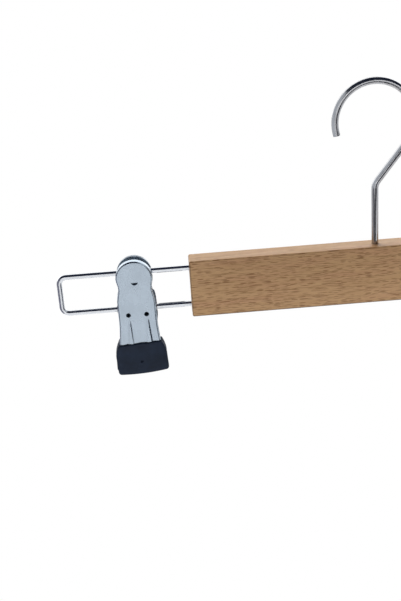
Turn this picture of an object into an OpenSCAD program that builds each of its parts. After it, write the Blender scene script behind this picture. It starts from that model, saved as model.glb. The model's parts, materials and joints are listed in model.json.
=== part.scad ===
// Trouser hanger: beech bar, swivel hook, two wire loops and two sprung sliding clips.
// Millimetres, +Z up, front towards -Y. The origin is the hook's seat, where a wardrobe rail carries it.

/* [Bar] */
// Length of the wooden bar
bar_len = 205; // [150:1:260]
// Height of the bar
bar_h = 32; // [29:0.5:45]
// Thickness of the bar
bar_t = 14; // [12:0.5:20]
// Radius of the bar's eased long edges
bar_edge_r = 0.9; // [0.3:0.1:2]

/* [Hook] */
// Diameter of the hook's wire
hook_wire_d = 3.8; // [3:0.1:5]
// Straight length of the stem above the bar
hook_stem_h = 30.5; // [15:0.5:45]
// Angle at which the wire leaves the stem
hook_lean = 38.5; // [30:0.5:50]
// Radius of the bend above the stem, to the wire's centre line
hook_bend_r = 7.5; // [4:0.5:10]
// Radius of the hook's crook, to the wire's centre line
hook_r = 21; // [19:0.5:26]
// Angle at which the crook ends, from the right over the top
hook_end_angle = 192; // [170:1:200]
// Running clearance round the stem in the bar
hook_gap = 0.08; // [0.02:0.01:0.1]

/* [Hook washer] */
// Outer diameter of the washer under the hook's head
washer_d = 9; // [8:0.5:12]
// Thickness of the washer
washer_t = 1; // [0.6:0.1:1.5]
// Diameter of the head that is peened over the washer
head_d = 6.4; // [5.5:0.1:7.5]
// Height of the peened head
head_h = 1.6; // [1:0.1:2.5]
// Depth of the head's end inside the counterbore
head_sink = 0.8; // [0.3:0.1:2]

/* [Wire loops] */
// Diameter of the loop's wire
rail_d = 3; // [2.5:0.1:4]
// Distance between the loop's two rails, centre to centre
rail_gap = 21; // [19:0.5:24]
// How far the loop stands out of the bar's end
loop_reach = 73; // [60:1:100]
// Radius of the loop's corners, to the wire's centre line
loop_corner_r = 4; // [3:0.5:8]
// Depth to which the wire is pressed into the bar
loop_depth = 22; // [12:1:35]
// Glue gap round the wire in its hole
loop_fit = 0.03; // [0.01:0.01:0.1]

/* [Clip place] */
// Distance of each clip from the bar's end as photographed, to the clip's middle
clip_off = 30.3; // [14:0.1:56]
// Angle by which each leaf leans when the jaws are shut
leaf_tilt = 4; // [3:0.25:5]

/* [Clip leaf] */
// Thickness of the pressed sheet
leaf_t = 0.7; // [0.5:0.05:0.9]
// Distance of the leaf's face from the hinge axis
face_y = 5.1; // [4.8:0.1:5.5]
// Radius of the fold round the leaf's face
fold_r = 1; // [0.9:0.05:1.2]
// Radius of the front leaf's round head
front_head_r = 10.1; // [9.5:0.1:11]
// Radius of the back leaf's round head
back_head_r = 9.7; // [9:0.1:10.5]
// Height of the round head's centre above the hinge axis
head_z = 19.3; // [18.5:0.1:21]
// Width of the leaf at its waist
waist_w = 18.4; // [17:0.1:20]
// Height of the waist above the hinge axis
waist_z = 14; // [13:0.25:15]
// Width of the leaf at its ears
belly_w = 21; // [20:0.1:23]
// Width of the leaf at its jaw
jaw_w = 25.8; // [23:0.1:26]
// Depth of the side wall round the head
head_wall = 3.5; // [3:0.1:3.8]
// Depth of the side wall at the jaw's end
jaw_wall = 1.3; // [1.2:0.1:1.6]
// Reach of the ears past the hinge axis
ear_reach = 2.9; // [2.7:0.1:3.1]
// Side gap between the front leaf's ears and the back leaf's
ear_gap = 0.2; // [0.1:0.05:0.4]
// Diameter of the two holes in the leaf
hole_d = 2.4; // [1.5:0.1:3]
// Distance between the two holes
hole_gap = 10; // [8:0.5:12]
// Depth of the two holes below the hinge axis
hole_drop = 2; // [1:0.1:4]
// Width of the pressed ribs at their upper end
rib_top_w = 2.2; // [1.6:0.1:3]
// Width of the pressed ribs at their foot
rib_foot_w = 5.4; // [3:0.1:6]
// Height of the pressed ribs over the face
rib_h = 0.45; // [0.2:0.05:0.6]
// Width of the half-moon lance
moon_w = 3.4; // [3:0.1:5]
// Height of the lance's flat edge above the hinge axis
moon_z = 17.4; // [16:0.1:18]

/* [Pivot tube and spring] */
// Running clearance of the pivot tube on its rail
tube_gap = 0.08; // [0.02:0.01:0.1]
// Wall of the pivot tube
tube_wall = 0.35; // [0.25:0.05:0.4]
// Running clearance of the leaves' ears on the pivot tube
hinge_gap = 0.05; // [0.02:0.01:0.1]
// Diameter of the pivot tube's rolled lips
lip_d = 4.6; // [4.4:0.1:5.5]
// Thickness of the rolled lips
lip_t = 0.5; // [0.3:0.1:0.8]
// Diameter of the spring's wire
spring_wire_d = 1.1; // [0.8:0.05:1.2]
// Radius of the spring's coil, to the wire's centre line
coil_r = 2.9; // [2.85:0.05:3]
// Advance of the coil in one turn
coil_pitch = 1.6; // [1.55:0.05:1.8]
// Whole turns of the coil, to which its arms add a half turn
coil_turns = 6; // [3:1:7]

/* [Boots] */
// Width of the rubber boot
boot_w = 28.6; // [28:0.1:32]
// Width of the boot at its top edge
boot_top_w = 24; // [23.4:0.1:27]
// Height of the boot
boot_h = 19.2; // [16:0.1:20]
// Depth of the boot's top edge below the hinge axis
boot_drop = 19.7; // [17:0.1:21]
// Radius of the boot's lower corners
boot_corner_r = 1.8; // [1:0.1:3]
// Height by which the boot's lower edge bows out
boot_crown = 0.6; // [0:0.1:1.5]
// Rubber over the leaf's face
boot_skin = 1.1; // [0.8:0.1:1.5]
// Rubber below the leaf's end
boot_sole = 1.5; // [1:0.1:2.5]
// Slack of the leaf's end in the boot
boot_fit = 0.05; // [0.01:0.01:0.1]
// Half of the gap between the shut boots
grip_gap = 0.1; // [0.05:0.05:0.3]

/* [Hidden] */
$fn = 48;
cut = 1;              // how far a cutting shape runs past what it cuts
left = -1;
right = 1;

// Colours
beech = [0.78, 0.62, 0.45];
zinc = [0.62, 0.63, 0.64];
nickel = [0.80, 0.82, 0.84];
spring_steel = [0.45, 0.46, 0.48];
black_rubber = [0.10, 0.11, 0.14];

// Hook: the crook's centre stands over the stem, and the wire runs to it in one straight stretch
bend_out = hook_bend_r * (1 - cos(hook_lean));
bend_up = hook_bend_r * sin(hook_lean);
run_len = (hook_r * cos(hook_lean) - bend_out) / sin(hook_lean);
crook_z = -(hook_r - hook_wire_d / 2);
run_end = [hook_r * cos(hook_lean), crook_z - hook_r * sin(hook_lean)];
run_start = run_end - run_len * [sin(hook_lean), cos(hook_lean)];
bar_top = run_start[1] - bend_up - hook_stem_h;
bar_mid = bar_top - bar_h / 2;
counterbore_h = head_sink + head_h + washer_t;
counterbore_gap = 0.1;
stem_foot = bar_top - bar_h + head_sink;

// Wire loops
rail_low = bar_mid - rail_gap / 2;
loop_end = bar_len / 2 + loop_reach - rail_d / 2;
clip_x = bar_len / 2 + clip_off;

// Leaf outline: height above the hinge axis against half the width
jaw_end = -(boot_drop + boot_h - boot_sole);
belly_low = -5;
belly_top = 5;
ear_low = -8.5;       // where the ears start
ear_top = 11.5;       // where they end
ear_slope = 3;        // height over which they rise
back_inset = leaf_t + ear_gap;
side_steps = 15;      // points along each side of a leaf
head_steps = 18;      // points round its head
fold_steps = 3;
head_turn = asin((face_y - head_wall) / (head_z + front_head_r)); // lean at which the heads meet
leaf_open = leaf_tilt + head_turn;
echo(leaf_opens_by_deg = leaf_open);

// Hinge and spring
tube_bore_r = rail_d / 2 + tube_gap;
tube_r = tube_bore_r + tube_wall;
lip_gap = 0.1;
notch_gap = 0.35;
boot_edge_r = 0.9;
slice = 0.05;         // thickness of the outlines that a boot is stretched over
curl_rings = 8;
wire_sides = 6;
coil_len = coil_pitch * (coil_turns + 0.5);
foot_seat = 0.1;      // air between the spring's feet and what they bear on
foot_z = moon_z + foot_seat + spring_wire_d / 2;
foot_past = 1.6;      // how far a foot runs past the clip's middle
foot_bend_r = 1.5;

function mix(a, b, t) = a + (b - a) * t;
function smooth(t) = t <= 0 ? 0 : t >= 1 ? 1 : t * t * (3 - 2 * t);
function unit(v) = v / norm(v);

// Half the leaf's width at height z, for a leaf drawn in by inset below its head
function leaf_half_w(z, head_r, inset) =
    z < belly_low ? mix(jaw_w / 2, belly_w / 2, smooth((z - jaw_end) / (belly_low - jaw_end))) - inset :
    z < belly_top ? belly_w / 2 - inset :
    z < waist_z ? mix(belly_w, waist_w, smooth((z - belly_top) / (waist_z - belly_top))) / 2 - inset :
    mix(waist_w / 2 - inset, head_r, smooth((z - waist_z) / (head_z - waist_z)));

// Depth of the leaf's side wall at height z, measured from its face
function leaf_wall(z) =
    let(base = mix(jaw_wall, head_wall, smooth((z - jaw_end) / (ear_low - jaw_end))),
        rise = smooth((z - ear_low) / ear_slope) * smooth((ear_top - z) / ear_slope))
    mix(base, face_y + ear_reach, rise);

// Points [x, z] round a leaf, anticlockwise from the front, with shrink taken off its edge
function leaf_outline(head_r, inset, shrink) =
    let(side = [for (i = [0:side_steps]) mix(jaw_end, head_z, i / side_steps)],
        low = jaw_end + shrink)
    concat(
        [for (z = side) [leaf_half_w(z, head_r, inset) - shrink, max(z, low)]],
        [for (i = [1:head_steps - 1])
            let(a = 180 * i / head_steps) [0, head_z] + (head_r - shrink) * [cos(a), sin(a)]],
        [for (i = [side_steps:-1:0])
            [shrink - leaf_half_w(side[i], head_r, inset), max(side[i], low)]]);

// Pressed tray with a folded rim, its face at y = -face_y, as rings from the face out and back inside
module leaf_tray(head_r, inset) {
    fold_in = fold_r - leaf_t;
    out_turn = [for (k = [0:fold_steps]) 90 * k / fold_steps];
    rim = leaf_outline(head_r, inset, 0);
    function ring(shrink, depth) =
        [for (p = leaf_outline(head_r, inset, shrink)) [p[0], depth - face_y, p[1]]];
    function edge(shrink) =
        let(o = leaf_outline(head_r, inset, shrink))
        [for (i = [0:len(o) - 1]) [o[i][0], leaf_wall(rim[i][1]) - face_y, o[i][1]]];
    rings = concat(
        [for (a = out_turn) ring(fold_r * (1 - sin(a)), fold_r * (1 - cos(a)))],
        [edge(0), edge(leaf_t)],
        [for (k = [fold_steps:-1:0])
            let(a = out_turn[k]) ring(fold_r - fold_in * sin(a), fold_r - fold_in * cos(a))]);
    skin(rings);
}

// Closed solid through equal rings of points, each ring running up one side and down the other
module skin(rings) {
    n = len(rings[0]);
    last = len(rings) - 1;
    function cap(o) = [for (i = [0:ceil(n / 2) - 2])
        let(j = n - 2 - i)
        each i + 1 == j ? [[o + i, o + j, o + j + 1]] : [[o + i, o + i + 1, o + j], [o + i, o + j, o + j + 1]]];
    polyhedron(
        points = [for (r = rings) each r],
        faces = concat(
            [for (f = cap(0)) [f[2], f[1], f[0]]],
            [for (k = [0:last - 1], i = [0:n - 1])
                let(j = (i + 1) % n) each [
                    [(k + 1) * n + j, (k + 1) * n + i, k * n + i],
                    [k * n + j, (k + 1) * n + j, k * n + i]]],
            cap(last * n)),
        convexity = 6);
}

// Rounded bead pressed out of the face, from under its hole down into the boot, wider at its foot
module rib(side, grow) {
    hull() {
        rib_end(side, rib_top_w, -hole_drop - hole_d / 2 - rib_top_w, grow);
        rib_end(side, rib_foot_w, -boot_drop - rib_foot_w / 2, grow);
    }
}

// Ball whose cap stands rib_h out of the face with width w, and is then offset by grow
module rib_end(side, w, z, grow) {
    r = (w * w / 4 + rib_h * rib_h) / (2 * rib_h);
    translate([side * hole_gap / 2, r - rib_h - face_y, z]) sphere(r = r + grow, $fn = 24);
}

// Half-moon opening under a flat edge at height moon_z
module moon_cut() {
    intersection() {
        translate([0, 0, moon_z]) rotate([90, 0, 0])
            cylinder(d = moon_w, h = face_y + cut);
        translate([-moon_w, -face_y - cut, moon_z - moon_w])
            cube([2 * moon_w, leaf_t + 2 * cut, moon_w]);
    }
}

// The tongue lanced from that opening, bent inwards along its flat edge
module moon_tongue() {
    translate([0, leaf_t / 2 - face_y, moon_z - leaf_t])
        intersection() {
            cylinder(d = moon_w, h = leaf_t);
            translate([-moon_w, 0, 0]) cube([2 * moon_w, moon_w, leaf_t]);
        }
}

// One leaf in its own frame: hinge axis along X at the origin, face towards -Y
module leaf(head_r, inset) {
    notch_r = rail_d / 2 + notch_gap;
    notch_y = -rail_gap * sin(head_turn);
    difference() {
        union() {
            leaf_tray(head_r, inset);
            intersection() {
                for (side = [left, right]) rib(side, 0);
                translate([-jaw_w / 2, -face_y - cut, jaw_end]) cube([jaw_w, cut + leaf_t, -jaw_end]);
            }
        }
        for (side = [left, right]) {
            rib(side, -leaf_t);
            translate([side * hole_gap / 2, 0, -hole_drop]) rotate([90, 0, 0])
                cylinder(d = hole_d, h = face_y + cut);
        }
        moon_cut();
        rotate([0, 90, 0])
            cylinder(r = tube_r + hinge_gap, h = belly_w + 2 * cut, center = true);
        translate([0, notch_y, rail_gap * cos(leaf_tilt)]) {
            rotate([0, 90, 0]) cylinder(r = notch_r, h = 3 * front_head_r, center = true);
            translate([-1.5 * front_head_r, 0, -notch_r])
                cube([3 * front_head_r, face_y, 2 * notch_r]);
        }
    }
    moon_tongue();
}

module front_leaf() {
    color(nickel) rotate([leaf_tilt, 0, 0]) leaf(front_head_r, 0);
}

module back_leaf() {
    color(nickel) mirror([0, 1, 0]) rotate([leaf_tilt, 0, 0]) leaf(back_head_r, back_inset);
}

// Boot outline [x, z] below the hinge axis, with shrink taken off its edge
function boot_outline(shrink) =
    let(top = -boot_drop - shrink,
        low = -boot_drop - boot_h + boot_crown + shrink,
        full = mix(top, low, 0.42),
        half_top = boot_top_w / 2 - shrink,
        half_w = boot_w / 2 - shrink,
        foot_w = half_w - boot_corner_r,
        steps = 6,
        half = concat(
            [for (i = [0:steps])
                let(t = i / steps)
                [mix(half_top, half_w, sin(90 * t)), mix(top, full, t)]],
            [for (i = [0:steps])
                let(a = 90 * i / steps)
                [foot_w, low + boot_corner_r] + boot_corner_r * [cos(a), -sin(a)]],
            [for (i = [1:steps - 1])
                let(x = i / steps)
                [foot_w * (1 - x), low - boot_crown * x * (2 - x)]]))
    concat(half, [[0, low - boot_crown]], [for (i = [len(half) - 1:-1:0]) [-half[i][0], half[i][1]]]);

module boot_slice(y, shrink) {
    translate([0, y + slice, 0]) rotate([90, 0, 0]) linear_extrude(slice) polygon(boot_outline(shrink));
}

// Rubber sleeve over one jaw, flat where it grips, with the leaf's end in its pocket
module boot(head_r, inset) {
    out_y = -face_y - boot_skin;
    difference() {
        hull() {
            boot_slice(-grip_gap - slice, boot_edge_r / 2);
            boot_slice(-grip_gap - boot_edge_r / 2, 0);
            rotate([leaf_tilt, 0, 0]) {
                boot_slice(out_y + boot_edge_r, 0);
                boot_slice(out_y + boot_edge_r / 3, boot_edge_r / 3);
                boot_slice(out_y, boot_edge_r);
            }
        }
        rotate([leaf_tilt, 0, 0]) {
            boot_pocket(head_r, inset);
            for (side = [left, right]) rib(side, boot_fit);
        }
    }
}

// Room for the leaf's end: its outline from in front, its side wall from beside
module boot_pocket(head_r, inset) {
    steps = 6;
    low = jaw_end - boot_fit;
    top = -boot_drop + cut;
    intersection() {
        rotate([90, 0, 0]) linear_extrude(boot_w)
            polygon(leaf_outline(head_r, inset, -boot_fit));
        rotate([90, 0, 90]) translate([0, 0, -boot_w]) linear_extrude(2 * boot_w)
            polygon(concat(
                [[-face_y - boot_fit, top], [-face_y - boot_fit, low]],
                [for (i = [0:steps]) let(z = mix(low, top, i / steps)) [leaf_wall(z) - face_y + boot_fit, z]]));
    }
}

module front_boot() {
    color(black_rubber) boot(front_head_r, 0);
}

module back_boot() {
    color(black_rubber) mirror([0, 1, 0]) boot(back_head_r, back_inset);
}

// Hollow rivet on the lower rail, its lips rolled outside the front leaf's ears
module pivot_tube() {
    half = belly_w / 2 + lip_gap + lip_t;
    color(zinc) rotate([0, 90, 0]) difference() {
        union() {
            cylinder(r = tube_r, h = 2 * half, center = true);
            for (end = [-half, half - lip_t]) translate([0, 0, end]) cylinder(d = lip_d, h = lip_t);
        }
        cylinder(r = tube_bore_r, h = 2 * half + 2 * cut, center = true);
    }
}

// Centre line of the spring: front foot, front arm, coil, back arm, back foot
foot_in = [-face_y + leaf_t + foot_seat + spring_wire_d / 2, foot_z];
bend_steps = 3;
function from_leaf(x, p) =
    [x, p[0] * cos(leaf_tilt) - p[1] * sin(leaf_tilt), p[0] * sin(leaf_tilt) + p[1] * cos(leaf_tilt)];
front_end = concat(
    [for (x = [foot_past, foot_past - 2 * spring_wire_d]) from_leaf(x, foot_in)],
    [for (i = [0:bend_steps])
        let(a = 90 * i / bend_steps)
        from_leaf(foot_bend_r * (1 - sin(a)) - coil_len / 2, foot_in - [0, foot_bend_r * (1 - cos(a))])]);
coil_steps = curl_rings * (coil_turns + 0.5);
coil_line = [for (i = [0:coil_steps])
    let(a = 360 * i / curl_rings)
    [coil_len * (i / coil_steps - 0.5), -coil_r * cos(a), -coil_r * sin(a)]];
back_end = [for (i = [len(front_end) - 1:-1:0]) [-front_end[i][0], -front_end[i][1], front_end[i][2]]];
spring_line = concat(front_end, coil_line, back_end);

function tangent(line, i) =
    let(n = len(line) - 1)
    i == 0 ? unit(line[1] - line[0]) :
    i == n ? unit(line[n] - line[n - 1]) :
    unit(unit(line[i + 1] - line[i]) + unit(line[i] - line[i - 1]));

// Sideways directions carried along the line with no twist
function carried(line, i = 1, got = [[0, 1, 0]]) =
    i == len(line) ? got :
    let(t = tangent(line, i), v = got[i - 1])
    carried(line, i + 1, concat(got, [unit(v - (v * t) * t)]));

module wire_sweep(line, d) {
    sideways = carried(line);
    skin([for (i = [0:len(line) - 1])
        let(t = tangent(line, i), u = sideways[i], v = cross(t, u))
        [for (k = [0:wire_sides - 1])
            let(a = 360 * k / wire_sides) line[i] + d / 2 * (cos(a) * u + sin(a) * v)]]);
}

// Least air between stretches of the spring that are most of a turn apart
function least_gap(line, d, apart) =
    min([for (i = [0:len(line) - 1 - apart], j = [i + apart:len(line) - 1])
        norm(line[i] - line[j])]) - d;
echo(spring_least_gap_mm = least_gap(spring_line, spring_wire_d, curl_rings - 2));

module spring() {
    color(spring_steel) wire_sweep(spring_line, spring_wire_d);
}

// Wire pieces in the XZ plane
module wire_rod(p, q, d) {
    way = q - p;
    translate([p[0], 0, p[1]]) rotate([0, atan2(way[0], way[1]), 0])
        cylinder(d = d, h = norm(way));
}

module wire_arc(centre, r, from, to, d) {
    translate([centre[0], 0, centre[1]]) rotate([90, 0, 0]) rotate([0, 0, from])
        rotate_extrude(angle = to - from) translate([r, 0]) circle(d = d);
}

module loop(side) {
    z_low = rail_low;
    z_top = rail_low + rail_gap;
    x_in = bar_len / 2 - loop_depth;
    x_bend = loop_end - loop_corner_r;
    color(nickel) mirror([side == left ? 1 : 0, 0, 0]) {
        union() {
            wire_rod([x_in, z_top], [x_bend, z_top], rail_d);
            wire_arc([x_bend, z_top - loop_corner_r], loop_corner_r, 0, 90, rail_d);
        }
        union() {
            wire_rod([x_in, z_low], [x_bend, z_low], rail_d);
            wire_arc([x_bend, z_low + loop_corner_r], loop_corner_r, -90, 0, rail_d);
        }
        wire_rod([loop_end, z_low + loop_corner_r], [loop_end, z_top - loop_corner_r], rail_d);
    }
}

module hook() {
    tip = hook_r * [cos(hook_end_angle), sin(hook_end_angle)] + [0, crook_z];
    stem_top = bar_top + hook_stem_h;
    color(zinc) {
        translate([0, 0, stem_foot]) cylinder(d = head_d, h = head_h);
        wire_rod([0, stem_foot + head_h], [0, stem_top], hook_wire_d);
        wire_arc([hook_bend_r, stem_top], hook_bend_r, 180 - hook_lean, 180, hook_wire_d);
        wire_rod(run_start, run_end, hook_wire_d);
        wire_arc([0, crook_z], hook_r, -hook_lean, hook_end_angle, hook_wire_d);
        translate([tip[0], 0, tip[1]]) sphere(d = hook_wire_d);
    }
}

module hook_washer() {
    color(zinc) translate([0, 0, stem_foot + head_h]) difference() {
        cylinder(d = washer_d, h = washer_t);
        translate([0, 0, -cut]) cylinder(d = hook_wire_d + 2 * hook_gap, h = washer_t + 2 * cut);
    }
}

module bar() {
    color(beech) difference() {
        translate([-bar_len / 2, 0, bar_mid]) rotate([90, 0, 90]) linear_extrude(bar_len) {
            square([bar_t - 2 * bar_edge_r, bar_h], center = true);
            square([bar_t, bar_h - 2 * bar_edge_r], center = true);
            for (y = [-1, 1], z = [-1, 1])
                translate([y * (bar_t / 2 - bar_edge_r), z * (bar_h / 2 - bar_edge_r)]) circle(r = bar_edge_r);
        }
        translate([0, 0, bar_top - bar_h - cut]) cylinder(d = hook_wire_d + 2 * hook_gap, h = bar_h + 2 * cut);
        translate([0, 0, bar_top - bar_h - cut])
            cylinder(d = washer_d + 2 * counterbore_gap, h = counterbore_h + cut);
        for (side = [left, right], z = [rail_low, rail_low + rail_gap])
            translate([side * (bar_len / 2 + cut), 0, z]) rotate([0, -side * 90, 0])
                cylinder(d = rail_d + 2 * loop_fit, h = loop_depth + cut);
    }
}

module place_clip(side) {
    translate([side * clip_x, 0, rail_low]) children();
}

bar();
hook();
hook_washer();
loop(left);  // left_loop
loop(right);  // right_loop
place_clip(left) pivot_tube();  // left_pivot_tube
place_clip(left) spring();  // left_spring
place_clip(left) front_leaf();  // left_front_leaf
place_clip(left) back_leaf();  // left_back_leaf
place_clip(left) front_boot();  // left_front_boot
place_clip(left) back_boot();  // left_back_boot
place_clip(right) pivot_tube();  // right_pivot_tube
place_clip(right) spring();  // right_spring
place_clip(right) front_leaf();  // right_front_leaf
place_clip(right) back_leaf();  // right_back_leaf
place_clip(right) front_boot();  // right_front_boot
place_clip(right) back_boot();  // right_back_boot
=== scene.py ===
"""Trouser hanger: a beech bar, a swivelling hook, and two sprung clips with rubber boots on wire loops."""

import json
import math

import bmesh
import bpy
from mathutils import Matrix, Vector


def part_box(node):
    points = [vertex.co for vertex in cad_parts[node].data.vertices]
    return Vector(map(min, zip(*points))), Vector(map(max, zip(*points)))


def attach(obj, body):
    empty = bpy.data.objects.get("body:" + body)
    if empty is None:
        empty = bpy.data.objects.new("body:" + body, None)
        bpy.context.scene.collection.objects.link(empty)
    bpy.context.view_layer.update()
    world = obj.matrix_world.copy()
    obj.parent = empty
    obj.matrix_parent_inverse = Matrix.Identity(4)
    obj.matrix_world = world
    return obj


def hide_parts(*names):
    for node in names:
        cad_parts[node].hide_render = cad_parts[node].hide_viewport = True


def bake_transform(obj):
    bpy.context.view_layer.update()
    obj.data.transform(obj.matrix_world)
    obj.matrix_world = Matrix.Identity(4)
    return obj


bl_info = {
    "name": "Trouser Hanger",
    "version": (1, 0, 0),
    "blender": (4, 5, 0),
    "location": "3D View > Sidebar > Hanger",
    "description": "Builds a wooden trouser hanger with sprung clips around its frame",
    "category": "Object",
}

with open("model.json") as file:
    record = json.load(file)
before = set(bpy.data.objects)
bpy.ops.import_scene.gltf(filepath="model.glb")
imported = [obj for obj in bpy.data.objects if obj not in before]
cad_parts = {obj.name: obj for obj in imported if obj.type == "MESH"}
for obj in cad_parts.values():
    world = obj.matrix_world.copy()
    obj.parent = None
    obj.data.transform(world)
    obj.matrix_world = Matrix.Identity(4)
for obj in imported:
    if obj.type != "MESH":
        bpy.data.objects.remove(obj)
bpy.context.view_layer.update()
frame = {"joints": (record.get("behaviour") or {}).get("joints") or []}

MM = 0.001
SIDES = ("left", "right")
JOINT_PLACE = {j["name"]: Vector(j["pos_m"]) for j in frame["joints"] if "pos_m" in j}


def box_mm(node):
    low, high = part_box(node)
    return Vector(low) / MM, Vector(high) / MM


def linear(code):
    """A colour written as sRGB hex, as linear light."""
    levels = [int(code[i : i + 2], 16) / 255 for i in (1, 3, 5)]
    return [v / 12.92 if v <= 0.04045 else ((v + 0.055) / 1.055) ** 2.4 for v in levels]


def length(name, description, default):
    """A size in millimetres, as a property."""
    return bpy.props.FloatProperty(
        name=name, description=description + ", in millimetres", default=default, min=0.0, soft_max=300.0
    )


def angle(name, description, degrees):
    """An angle, as a property."""
    return bpy.props.FloatProperty(
        name=name, description=description, subtype="ANGLE", default=math.radians(degrees)
    )


def colour(name, description, code):
    return bpy.props.FloatVectorProperty(
        name=name, description=description, subtype="COLOR", size=3, min=0.0, max=1.0, default=linear(code)
    )


class HangerWireSizes(bpy.types.PropertyGroup):
    hook_wire: length("Hook wire", "Diameter of the hook's wire", 3.8)
    hook_radius: length("Crook radius", "Radius of the crook's centre line", 21.0)
    hook_bend: length("Bend radius", "Radius of the bend above the stem", 7.5)
    hook_lean: angle("Lean", "Angle of the wire above its bend", 38.5)
    hook_end: angle("Crook end", "Angle at which the crook ends", 192)
    stem: length("Stem", "Straight length of the stem above the bar", 30.5)
    head: length("Head", "Diameter of the peened head", 6.4)
    head_height: length("Head height", "Height of the peened head", 1.6)
    loop_wire: length("Loop wire", "Diameter of the loop's wire", 3.0)
    loop_bend: length("Loop corner", "Radius of the loop's corners", 4.0)
    spring_wire: length("Spring wire", "Diameter of the spring's wire", 1.1)
    coil: length("Coil radius", "Radius of the coil's centre line", 2.9)
    pitch: length("Coil pitch", "Advance of the coil in a turn", 1.6)
    turns: bpy.props.FloatProperty(name="Turns", description="Turns of the coil", default=6.5)


class HangerBarSizes(bpy.types.PropertyGroup):
    edge: length("Eased edge", "Radius of the bar's eased edges", 0.9)
    stem_hole: length("Stem hole", "Diameter of the stem's hole", 3.96)
    counterbore: length("Counterbore", "Diameter of the counterbore under the bar", 9.2)
    counterbore_depth: length("Counterbore depth", "Depth of the counterbore", 3.4)
    wire_hole: length("Wire hole", "Diameter of the holes for the loops", 3.06)
    wire_hole_depth: length("Wire hole depth", "Depth of the holes for the loops", 22.0)


class HangerLeafSizes(bpy.types.PropertyGroup):
    tilt: angle("Tilt", "Lean of a shut leaf", 4)
    sheet: length("Sheet", "Thickness of the pressed sheet", 0.7)
    face: length("Face", "Distance of the leaf's face from its hinge axis", 5.1)
    fold: length("Fold", "Outer radius of the folded rim", 1.0)
    head_height: length("Head centre", "Height of the round head's centre over the hinge axis", 19.3)
    front_head: length("Front head", "Radius of the front leaf's head", 10.1)
    back_head: length("Back head", "Radius of the back leaf's head", 9.7)
    inset: length("Inset", "How far the back leaf is narrower on each side", 0.9)
    waist: length("Waist", "Width at the waist", 18.4)
    waist_height: length("Waist height", "Height of the waist over the hinge axis", 14.0)
    belly: length("Belly", "Width at the ears", 21.0)
    jaw: length("Jaw", "Width at the jaw", 25.8)
    jaw_depth: length("Jaw depth", "Depth of the jaw's end below the hinge axis", 37.4)
    head_wall: length("Head wall", "Depth of the rim round the head", 3.5)
    jaw_wall: length("Jaw wall", "Depth of the rim at the jaw", 1.3)
    ear_reach: length("Ear reach", "Reach of the ears past the hinge axis", 2.9)
    flare: length("Flare", "How far the front leaf's ears spread outwards at their ends", 0.55)
    ear_hole: length("Ear hole", "Diameter of the holes in the ears", 3.96)
    hole: length("Hole", "Diameter of the two holes", 2.7)
    hole_gap: length("Hole gap", "Distance between the two holes", 10.0)
    hole_drop: length("Hole drop", "Depth of the holes below the hinge axis", 2.0)
    rib_top: length("Rib top", "Half width of a rib at its upper end", 1.0)
    rib_foot: length("Rib foot", "Half width of a rib at its foot", 2.7)
    rib_rise: length("Rib rise", "Height of a rib over the face", 0.45)
    rib_flank: length("Rib flank", "Width of a rib's steep flank, on its right", 1.0)
    rib_lee: length("Rib lee", "Width of a rib's gentle flank, on its left", 2.2)
    moon: length("Lance", "Width of the half-moon lance", 3.7)
    moon_height: length("Lance height", "Height of the lance's flat edge over the hinge axis", 17.4)


class HangerBootSizes(bpy.types.PropertyGroup):
    width: length("Width", "Width of a boot", 28.6)
    top_width: length("Top width", "Width of a boot at its upper edge", 24.0)
    drop: length("Drop", "Depth of a boot's upper edge below the hinge axis", 19.7)
    height: length("Height", "Height of a boot", 19.2)
    corner: length("Corner", "Radius of a boot's lower corners", 1.8)
    crown: length("Crown", "Bow of a boot's lower edge", 0.6)
    skin: length("Skin", "Rubber over the leaf's face", 1.1)
    edge: length("Edge", "Radius of a boot's edges", 0.9)
    grip: length("Grip gap", "Half of the gap between shut boots", 0.1)
    mark: length("Gate mark", "Diameter of the moulding's gate mark", 1.8)
    skews: bpy.props.FloatVectorProperty(
        name="Skews",
        description="How askew each boot sits: left front, left back, right front, right back",
        size=4,
        default=[math.radians(a) for a in (3.2, -0.8, -1.4, 0.7)],
    )


class HangerFinishes(bpy.types.PropertyGroup):
    beech_light: colour("Beech", "Light wood between the flecks", "#C39A6B")
    beech_dark: colour("Beech grain", "Darker late wood", "#AF8556")
    beech_warm: colour("Beech blush", "Pinker patches of the wood", "#BE8A66")
    beech_fleck: colour("Beech flecks", "Ray flecks", "#75481C")
    # Painted shade: this dark grey-brown is laid on the bar's eased edges, mostly along its bottom and at its
    # ends, to stand in for the shade there.
    beech_edge_shade: colour("Beech edges", "Eased edges that took up more oil", "#38332F")
    zinc: colour("Zinc", "Zinc plating on the hook", "#B2B3B6")
    nickel: colour("Nickel", "Bright nickel on the loops", "#D3D6DA")
    satin_nickel: colour("Satin nickel", "Satin nickel on the leaves", "#ADB9C4")
    steel: colour("Spring steel", "Bare spring steel", "#77787B")
    rubber: colour("Rubber", "Moulded rubber", "#1E2838")
    floor: colour("Floor", "Studio floor", "#F7F7F7")


def add_node(tree, kind, inputs=None, **settings):
    """Adds a node, sets its settings, and gives each input a value or links it to a socket."""
    made = tree.nodes.new(kind)
    for name, value in settings.items():
        setattr(made, name, value)
    for key, value in (inputs or {}).items():
        if isinstance(value, bpy.types.NodeSocket):
            tree.links.new(value, made.inputs[key])
        else:
            made.inputs[key].default_value = value
    return made


def opaque(rgb):
    return (*rgb, 1.0)


def blank_material(name):
    material = bpy.data.materials.new(name)
    material.use_nodes = True
    material.node_tree.nodes.clear()
    return material, material.node_tree


def coordinates(tree, cell):
    """Object coordinates, in pattern cells of the size given in millimetres along X, Y and Z."""
    source = add_node(tree, "ShaderNodeTexCoord").outputs["Object"]
    factors = tuple(1 / (size * MM) for size in cell)
    return add_node(tree, "ShaderNodeMapping", {"Vector": source, "Scale": factors}).outputs[0]


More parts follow.
